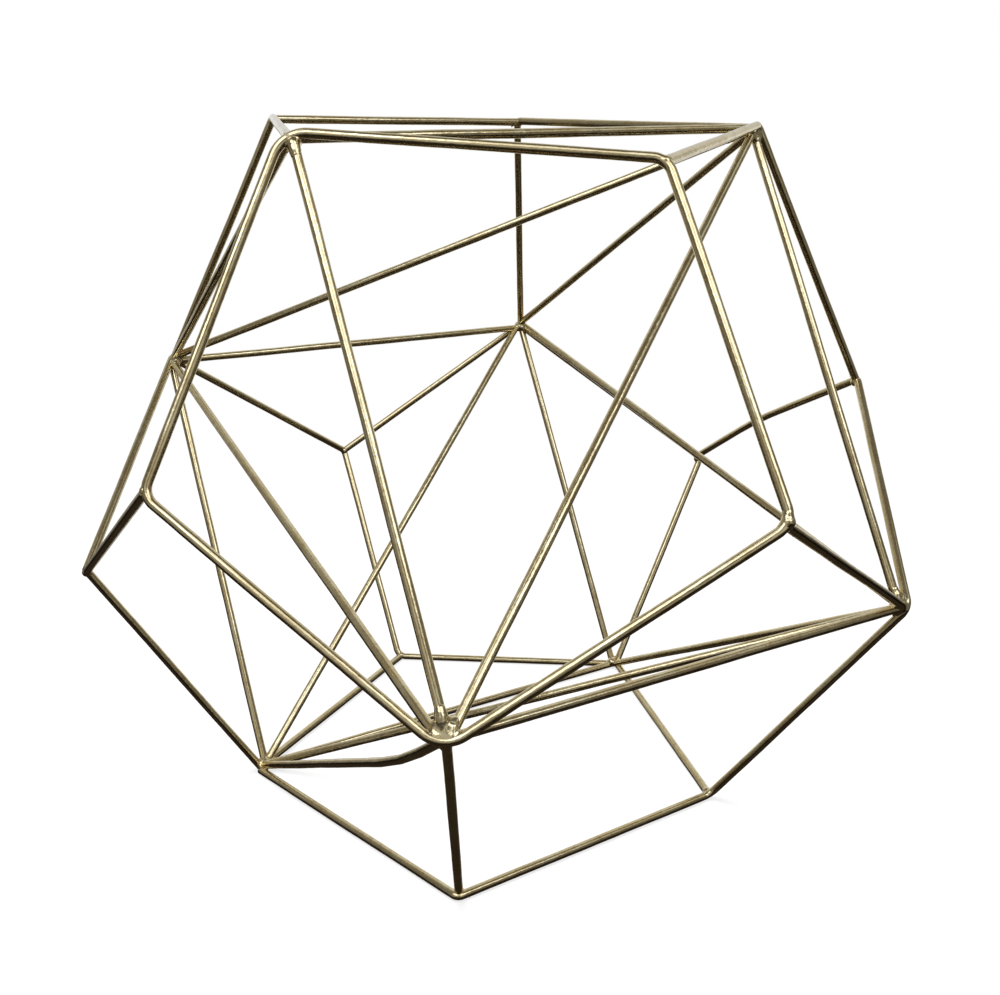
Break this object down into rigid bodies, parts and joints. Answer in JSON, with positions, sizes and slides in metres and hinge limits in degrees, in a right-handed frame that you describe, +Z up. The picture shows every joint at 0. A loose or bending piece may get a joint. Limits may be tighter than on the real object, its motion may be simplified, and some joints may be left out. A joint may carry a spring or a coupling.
{
  "type": "himmeli ornament",
  "caption": "Open faceted ornament of bent and welded brass-coloured wire: pentagonal windows round a braced cube, standing on one window.",
  "frame": {"origin": "centre of the bounding box's underside, on the surface that the ring of foot wires rests on", "axes": "+Z up; -Y is the front, with the foot corner that points to the viewer; +X to the viewer's right; +Y is the longest extent and +Z the shortest"},
  "size_m": [0.2412, 0.2494, 0.2051],
  "materials": {
    "frame_wire": "antique satin, bent wire",
    "cube_wire": "antique satin, straight wire",
    "brace_wire": "antique satin, straight wire",
    "weld_bead": "satin, lumpy weld metal"
  },
  "bodies": {
    "root": {"back_brace_bottom": "brace_wire", "back_brace_left": "brace_wire", "back_brace_right": "brace_wire", "back_left_link": "frame_wire", "back_left_roof_link": "frame_wire", "back_left_wire": "frame_wire", "back_right_wire": "frame_wire", "back_roof_wire": "frame_wire", "cube_strut_back_left": "cube_wire", "cube_strut_back_right": "cube_wire", "cube_strut_bottom_back": "cube_wire", "cube_strut_bottom_front": "cube_wire", "cube_strut_bottom_left": "cube_wire", "cube_strut_bottom_right": "cube_wire", "cube_strut_front_left": "cube_wire", "cube_strut_front_right": "cube_wire", "cube_strut_top_back": "cube_wire", "cube_strut_top_front": "cube_wire", "cube_strut_top_left": "cube_wire", "cube_strut_top_right": "cube_wire", "front_brace_left": "brace_wire", "front_brace_right": "brace_wire", "front_brace_top": "brace_wire", "front_leg": "frame_wire", "front_right_link": "frame_wire", "front_ring": "frame_wire", "left_back_link": "frame_wire", "left_foot_link": "frame_wire", "left_roof_wire": "frame_wire", "left_side_wire": "frame_wire", "right_foot_link": "frame_wire", "right_foot_wire": "frame_wire", "right_roof_wire": "frame_wire", "weld_foot_back_left": "weld_bead", "weld_foot_back_right": "weld_bead", "weld_foot_front": "weld_bead", "weld_foot_left": "weld_bead", "weld_foot_right": "weld_bead", "weld_lower_back_left": "weld_bead", "weld_lower_back_right": "weld_bead", "weld_lower_front": "weld_bead", "weld_lower_left": "weld_bead", "weld_lower_right": "weld_bead", "weld_roof_back": "weld_bead", "weld_roof_front_left": "weld_bead", "weld_roof_front_right": "weld_bead", "weld_roof_left": "weld_bead", "weld_roof_right": "weld_bead", "weld_upper_back": "weld_bead", "weld_upper_front_left": "weld_bead", "weld_upper_front_right": "weld_bead", "weld_upper_left": "weld_bead", "weld_upper_right": "weld_bead"}
  },
  "joints": []
}
